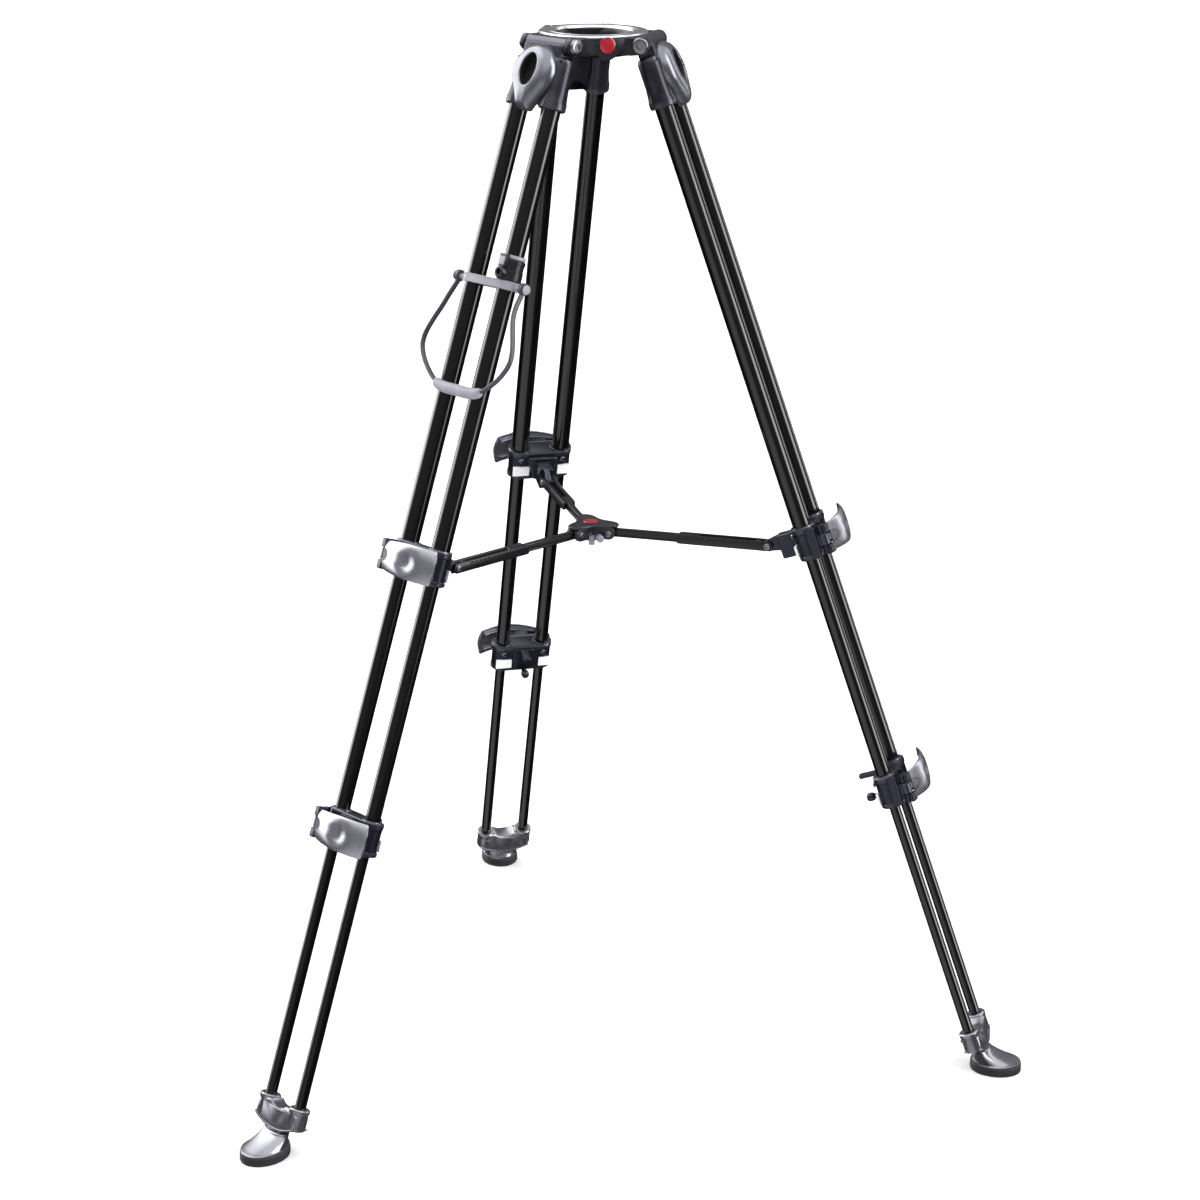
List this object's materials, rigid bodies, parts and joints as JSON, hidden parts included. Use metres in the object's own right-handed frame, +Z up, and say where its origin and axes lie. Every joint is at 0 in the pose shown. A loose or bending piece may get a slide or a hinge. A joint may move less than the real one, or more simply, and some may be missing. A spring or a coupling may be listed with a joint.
{
  "type": "video tripod",
  "caption": "Twin-tube telescopic tripod with a levelling bowl on top, a mid-level spreader and a carry handle on one leg.",
  "frame": {"origin": "middle of the footprint's bounding box, on the floor", "axes": "+Z up through the bowl, +Y towards the rear leg, +X to the right seen from the front, where two legs and the badge are"},
  "size_m": [0.866, 0.7562, 1.119],
  "materials": {
    "tube_black": "drawn tube, black anodised, glossy",
    "crown_casting": "die casting, dark satin paint, worn bright at the rim",
    "shoulder_casting": "die casting, charcoal satin paint",
    "bolt_steel": "turned, hex socket head",
    "lock_casting": "die casting, black satin paint",
    "lever_silver": "die casting, silver satin paint",
    "ankle_silver": "die casting, silver satin paint",
    "boot_grey": "die casting, grey satin paint",
    "sole_rubber": "moulded, fine texture",
    "arm_black": "moulded, glass filled",
    "hub_black": "moulded, glass filled",
    "badge_red": "moulded, polished dome",
    "band_grey": "moulded",
    "clamp_black": "moulded",
    "strap_grey": "moulded, flexible",
    "grip_grey": "moulded, soft"
  },
  "bodies": {
    "crown": {"crown": "crown_casting", "crown_badge": "badge_red", "front_left_hinge_bolt": "bolt_steel", "front_right_hinge_bolt": "bolt_steel", "rear_hinge_bolt": "bolt_steel"},
    "front_left_leg": {"front_left_shoulder": "shoulder_casting", "front_left_upper_tube_a": "tube_black", "front_left_upper_tube_b": "tube_black", "front_left_first_lock": "lock_casting", "handle_band": "band_grey", "handle_clamp": "clamp_black"},
    "front_left_middle": {"front_left_middle_tube_a": "tube_black", "front_left_middle_tube_b": "tube_black", "front_left_second_lock": "lock_casting"},
    "front_left_lower": {"front_left_lower_tube_a": "tube_black", "front_left_lower_tube_b": "tube_black", "front_left_ankle": "ankle_silver"},
    "front_left_foot": {"front_left_boot": "boot_grey", "front_left_sole": "sole_rubber"},
    "front_left_first_lever": {"front_left_first_lever": "lever_silver"},
    "front_left_second_lever": {"front_left_second_lever": "lever_silver"},
    "front_left_fork": {"front_left_arm_fork": "arm_black"},
    "front_left_bar": {"front_left_arm_bar": "arm_black"},
    "front_right_leg": {"front_right_shoulder": "shoulder_casting", "front_right_upper_tube_a": "tube_black", "front_right_upper_tube_b": "tube_black", "front_right_first_lock": "lock_casting"},
    "front_right_middle": {"front_right_middle_tube_a": "tube_black", "front_right_middle_tube_b": "tube_black", "front_right_second_lock": "lock_casting"},
    "front_right_lower": {"front_right_lower_tube_a": "tube_black", "front_right_lower_tube_b": "tube_black", "front_right_ankle": "ankle_silver"},
    "front_right_foot": {"front_right_boot": "boot_grey", "front_right_sole": "sole_rubber"},
    "front_right_first_lever": {"front_right_first_lever": "lever_silver"},
    "front_right_second_lever": {"front_right_second_lever": "lever_silver"},
    "front_right_fork": {"front_right_arm_fork": "arm_black"},
    "front_right_bar": {"front_right_arm_bar": "arm_black"},
    "rear_leg": {"rear_shoulder": "shoulder_casting", "rear_upper_tube_a": "tube_black", "rear_upper_tube_b": "tube_black", "rear_first_lock": "lock_casting"},
    "rear_middle": {"rear_middle_tube_a": "tube_black", "rear_middle_tube_b": "tube_black", "rear_second_lock": "lock_casting"},
    "rear_lower": {"rear_lower_tube_a": "tube_black", "rear_lower_tube_b": "tube_black", "rear_ankle": "ankle_silver"},
    "rear_foot": {"rear_boot": "boot_grey", "rear_sole": "sole_rubber"},
    "rear_first_lever": {"rear_first_lever": "lever_silver"},
    "rear_second_lever": {"rear_second_lever": "lever_silver"},
    "rear_fork": {"rear_arm_fork": "arm_black"},
    "rear_bar": {"rear_arm_bar": "arm_black"},
    "spreader_hub": {"spreader_hub": "hub_black", "hub_badge": "badge_red"},
    "handle": {"handle_strap_a": "strap_grey", "handle_strap_b": "strap_grey", "handle_grip": "grip_grey"}
  },
  "joints": [
    {"name": "front_left_leg_fold", "type": "hinge", "parent": "crown", "child": "front_left_leg", "pos_m": [-0.05196, -0.14919, 1.10904], "axis": [-0.5, 0.866, 0], "range_deg": [-18.5, 0]},
    {"name": "front_left_middle_slide", "type": "slide", "parent": "front_left_leg", "child": "front_left_middle", "axis": [-0.2934, -0.1694, -0.9409], "range_m": [-0.249, 0.19]},
    {"name": "front_left_lower_slide", "type": "slide", "parent": "front_left_middle", "child": "front_left_lower", "axis": [-0.2934, -0.1694, -0.9409], "range_m": [-0.271, 0.19]},
    {"name": "front_left_foot_tilt", "type": "hinge", "parent": "front_left_lower", "child": "front_left_foot", "pos_m": [-0.39167, -0.34532, 0.0195], "axis": [-0.5, 0.866, 0], "range_deg": [-8, 19]},
    {"name": "front_left_first_lever_flip", "type": "hinge", "parent": "front_left_leg", "child": "front_left_first_lever", "pos_m": [-0.24416, -0.22436, 0.60431], "axis": [-0.2934, -0.1694, -0.9409], "range_deg": [0, 100]},
    {"name": "front_left_second_lever_flip", "type": "hinge", "parent": "front_left_middle", "child": "front_left_second_lever", "pos_m": [-0.32835, -0.27297, 0.33428], "axis": [-0.2934, -0.1694, -0.9409], "range_deg": [0, 100]},
    {"name": "front_left_fork_swing", "type": "hinge", "parent": "front_left_leg", "child": "front_left_fork", "pos_m": [-0.17103, -0.21794, 0.58248], "axis": [-0.5, 0.866, 0], "range_deg": [-71.11, 0]},
    {"name": "front_left_bar_swing", "type": "hinge", "parent": "spreader_hub", "child": "front_left_bar", "pos_m": [-0.01905, -0.13019, 0.58248], "axis": [-0.5, 0.866, 0], "range_deg": [-89.61, 0]},
    {"name": "front_right_leg_fold", "type": "hinge", "parent": "crown", "child": "front_right_leg", "pos_m": [0.05196, -0.14919, 1.10904], "axis": [-0.5, -0.866, 0], "range_deg": [-18.51, 0]},
    {"name": "front_right_middle_slide", "type": "slide", "parent": "front_right_leg", "child": "front_right_middle", "axis": [0.2934, -0.1694, -0.9409], "range_m": [-0.249, 0.19]},
    {"name": "front_right_lower_slide", "type": "slide", "parent": "front_right_middle", "child": "front_right_lower", "axis": [0.2934, -0.1694, -0.9409], "range_m": [-0.271, 0.19]},
    {"name": "front_right_foot_tilt", "type": "hinge", "parent": "front_right_lower", "child": "front_right_foot", "pos_m": [0.39167, -0.34532, 0.0195], "axis": [-0.5, -0.866, 0], "range_deg": [-8, 19]},
    {"name": "front_right_first_lever_flip", "type": "hinge", "parent": "front_right_leg", "child": "front_right_first_lever", "pos_m": [0.21316, -0.27806, 0.60431], "axis": [0.2934, -0.1694, -0.9409], "range_deg": [0, 100]},
    {"name": "front_right_second_lever_flip", "type": "hinge", "parent": "front_right_middle", "child": "front_right_second_lever", "pos_m": [0.29735, -0.32667, 0.33428], "axis": [0.2934, -0.1694, -0.9409], "range_deg": [0, 100]},
    {"name": "front_right_fork_swing", "type": "hinge", "parent": "front_right_leg", "child": "front_right_fork", "pos_m": [0.17103, -0.21794, 0.58248], "axis": [-0.5, -0.866, 0], "range_deg": [-71.11, 0]},
    {"name": "front_right_bar_swing", "type": "hinge", "parent": "spreader_hub", "child": "front_right_bar", "pos_m": [0.01905, -0.13019, 0.58248], "axis": [-0.5, -0.866, 0], "range_deg": [-89.61, 0]},
    {"name": "rear_leg_fold", "type": "hinge", "parent": "crown", "child": "rear_leg", "pos_m": [0, -0.05919, 1.10904], "axis": [1, 0, 0], "range_deg": [-18.51, 0]},
    {"name": "rear_middle_slide", "type": "slide", "parent": "rear_leg", "child": "rear_middle", "axis": [0, 0.3387, -0.9409], "range_m": [-0.249, 0.19]},
    {"name": "rear_lower_slide", "type": "slide", "parent": "rear_middle", "child": "rear_lower", "axis": [0, 0.3387, -0.9409], "range_m": [-0.271, 0.19]},
    {"name": "rear_foot_tilt", "type": "hinge", "parent": "rear_lower", "child": "rear_foot", "pos_m": [0, 0.33306, 0.0195], "axis": [1, 0, 0], "range_deg": [-8, 19]},
    {"name": "rear_first_lever_flip", "type": "hinge", "parent": "rear_leg", "child": "rear_first_lever", "pos_m": [0.031, 0.14484, 0.60431], "axis": [0, 0.3387, -0.9409], "range_deg": [0, 100]},
    {"name": "rear_second_lever_flip", "type": "hinge", "parent": "rear_middle", "child": "rear_second_lever", "pos_m": [0.031, 0.24205, 0.33428], "axis": [0, 0.3387, -0.9409], "range_deg": [0, 100]},
    {"name": "rear_fork_swing", "type": "hinge", "parent": "rear_leg", "child": "rear_fork", "pos_m": [0, 0.0783, 0.58248], "axis": [1, 0, 0], "range_deg": [-71.11, 0]},
    {"name": "rear_bar_swing", "type": "hinge", "parent": "spreader_hub", "child": "rear_bar", "pos_m": [0, -0.09719, 0.58248], "axis": [1, 0, 0], "range_deg": [-89.61, 0]},
    {"name": "hub_rise", "type": "slide", "parent": "crown", "child": "spreader_hub", "axis": [0, 0, 1], "range_m": [0, 0.1669]},
    {"name": "handle_swing", "type": "hinge", "parent": "front_left_leg", "child": "handle", "pos_m": [-0.12471, -0.1912, 0.8757], "axis": [-0.5, 0.866, 0], "range_deg": [0, 120]}
  ],
  "couplings": [
    {"joint": "front_left_fork_swing", "follows": "front_left_leg_fold", "ratio": 3.8427},
    {"joint": "front_left_bar_swing", "follows": "front_left_leg_fold", "ratio": 4.8427},
    {"joint": "front_right_leg_fold", "follows": "front_left_leg_fold", "ratio": 1},
    {"joint": "front_right_fork_swing", "follows": "front_left_leg_fold", "ratio": 3.8427},
    {"joint": "front_right_bar_swing", "follows": "front_left_leg_fold", "ratio": 4.8427},
    {"joint": "rear_leg_fold", "follows": "front_left_leg_fold", "ratio": 1},
    {"joint": "rear_fork_swing", "follows": "front_left_leg_fold", "ratio": 3.8427},
    {"joint": "rear_bar_swing", "follows": "front_left_leg_fold", "ratio": 4.8427},
    {"joint": "hub_rise", "follows": "front_left_leg_fold", "m_per_rad": -0.51628}
  ]
}
